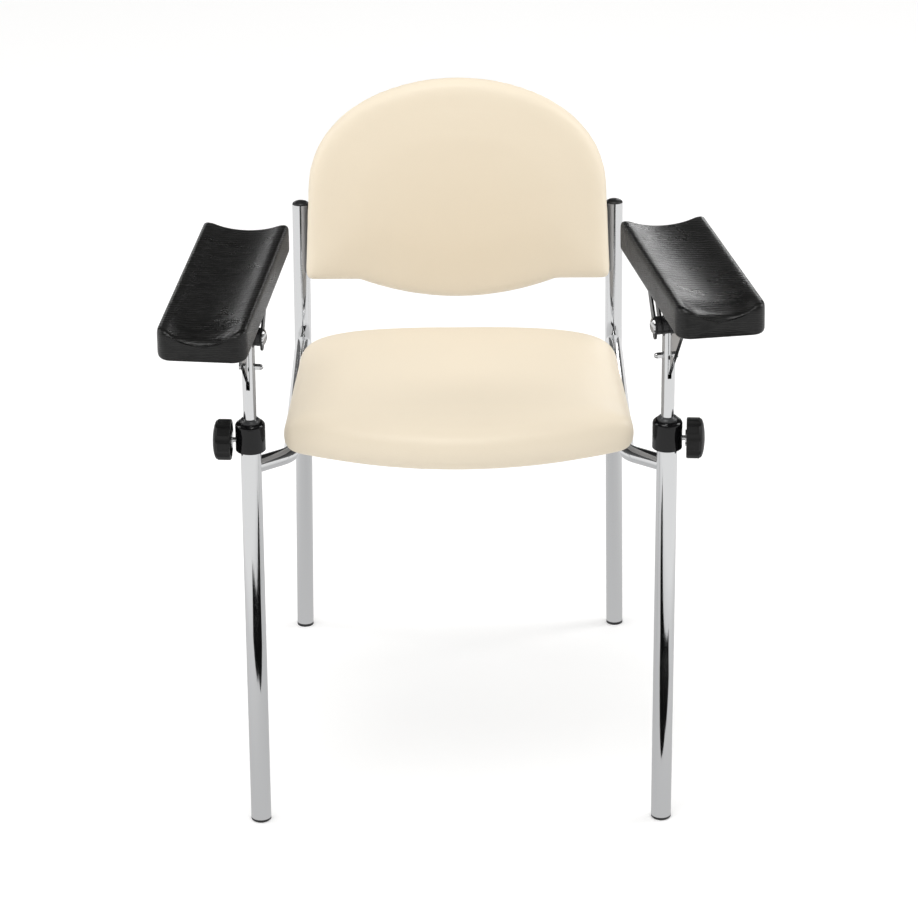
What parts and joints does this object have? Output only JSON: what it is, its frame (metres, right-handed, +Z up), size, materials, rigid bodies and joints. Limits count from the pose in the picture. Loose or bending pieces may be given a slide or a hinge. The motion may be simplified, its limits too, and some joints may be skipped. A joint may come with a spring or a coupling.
{
  "type": "phlebotomy chair",
  "caption": "Blood-draw chair: chromed tube legs, cream upholstered seat and round-topped back, and gutter arm pads on posts that rise, swivel and tilt.",
  "frame": {"origin": "centre of the footprint on the floor", "axes": "+Z up; the chair faces -Y, +X is the viewer's right when looking at its front"},
  "size_m": [0.6971, 0.7321, 0.8034],
  "materials": {
    "chrome_tube": "polished",
    "bright_hardware": "polished",
    "cream_vinyl": "satin, fine grain",
    "black_foam": "satin, leather grain",
    "black_plastic": "satin",
    "shell_plastic": "fine texture",
    "gloss_collar": "gloss",
    "nylon": "satin",
    "knob_plastic": "fine texture",
    "black_metal": "semi-gloss"
  },
  "bodies": {
    "frame": {"front_leg_left": "chrome_tube", "front_leg_right": "chrome_tube", "rear_leg_left": "chrome_tube", "rear_leg_right": "chrome_tube", "side_rail_left": "chrome_tube", "side_rail_right": "chrome_tube", "cross_rail_front": "chrome_tube", "cross_rail_rear": "chrome_tube", "glide_front_left": "black_plastic", "glide_front_right": "black_plastic", "glide_rear_left": "black_plastic", "glide_rear_right": "black_plastic", "upright_cap_left": "black_plastic", "upright_cap_right": "black_plastic", "seat_board": "shell_plastic", "seat_cushion": "cream_vinyl", "seat_screws": "bright_hardware", "back_shell": "shell_plastic", "back_cushion": "cream_vinyl", "back_tabs_left": "chrome_tube", "back_tabs_right": "chrome_tube", "back_screws": "bright_hardware", "collar_left": "gloss_collar", "collar_right": "gloss_collar", "bush_left": "nylon", "bush_right": "nylon"},
    "slider_left": {"post_foot_left": "nylon"},
    "post_left": {"post_left": "chrome_tube", "post_cap_left": "black_plastic", "tilt_saddle_left": "black_metal", "tilt_spacer_left": "black_metal", "tilt_bolt_left": "bright_hardware", "tilt_nut_left": "black_metal", "stop_bolt_left": "bright_hardware", "stop_nut_left": "bright_hardware"},
    "pad_left": {"tilt_ears_left": "black_metal", "tilt_blade_left": "chrome_tube", "pad_left": "black_foam", "pad_screws_left": "bright_hardware"},
    "clamp_tip_left": {"clamp_tip_left": "nylon"},
    "clamp_knob_left": {"clamp_stud_left": "bright_hardware", "clamp_knob_left": "knob_plastic"},
    "slider_right": {"post_foot_right": "nylon"},
    "post_right": {"post_right": "chrome_tube", "post_cap_right": "black_plastic", "tilt_saddle_right": "black_metal", "tilt_spacer_right": "black_metal", "tilt_bolt_right": "bright_hardware", "tilt_nut_right": "black_metal", "stop_bolt_right": "bright_hardware", "stop_nut_right": "bright_hardware"},
    "pad_right": {"tilt_ears_right": "black_metal", "tilt_blade_right": "chrome_tube", "pad_right": "black_foam", "pad_screws_right": "bright_hardware"},
    "clamp_tip_right": {"clamp_tip_right": "nylon"},
    "clamp_knob_right": {"clamp_stud_right": "bright_hardware", "clamp_knob_right": "knob_plastic"}
  },
  "joints": [
    {"name": "height_left", "type": "slide", "parent": "frame", "child": "slider_left", "axis": [0, 0, 1], "range_m": [-0.045, 0.09]},
    {"name": "swivel_left", "type": "hinge", "parent": "slider_left", "child": "post_left", "pos_m": [-0.25, -0.1805, 0.656], "axis": [0, 0, 1], "continuous": true},
    {"name": "tilt_left", "type": "hinge", "parent": "post_left", "child": "pad_left", "pos_m": [-0.25, -0.1805, 0.656], "axis": [-0.9936, 0.1132, 0], "range_deg": [-20, 20]},
    {"name": "clamp_press_left", "type": "slide", "parent": "frame", "child": "clamp_tip_left", "axis": [-0.9986, 0.0523, 0], "range_m": [0, 0.0025]},
    {"name": "clamp_turn_left", "type": "hinge", "parent": "clamp_tip_left", "child": "clamp_knob_left", "pos_m": [-0.25, -0.1805, 0.521], "axis": [0.9986, -0.0523, 0], "range_deg": [0, 720]},
    {"name": "height_right", "type": "slide", "parent": "frame", "child": "slider_right", "axis": [0, 0, 1], "range_m": [-0.045, 0.09]},
    {"name": "swivel_right", "type": "hinge", "parent": "slider_right", "child": "post_right", "pos_m": [0.25, -0.1805, 0.668], "axis": [0, 0, 1], "continuous": true},
    {"name": "tilt_right", "type": "hinge", "parent": "post_right", "child": "pad_right", "pos_m": [0.25, -0.1805, 0.668], "axis": [-0.9877, -0.1564, 0], "range_deg": [-24, 16]},
    {"name": "clamp_press_right", "type": "slide", "parent": "frame", "child": "clamp_tip_right", "axis": [0.9986, -0.0523, 0], "range_m": [0, 0.0025]},
    {"name": "clamp_turn_right", "type": "hinge", "parent": "clamp_tip_right", "child": "clamp_knob_right", "pos_m": [0.25, -0.1805, 0.521], "axis": [-0.9986, 0.0523, 0], "range_deg": [0, 720]}
  ],
  "couplings": [
    {"joint": "clamp_press_left", "follows": "clamp_turn_left", "m_per_rad": 0.00019894},
    {"joint": "clamp_press_right", "follows": "clamp_turn_right", "m_per_rad": 0.00019894}
  ]
}
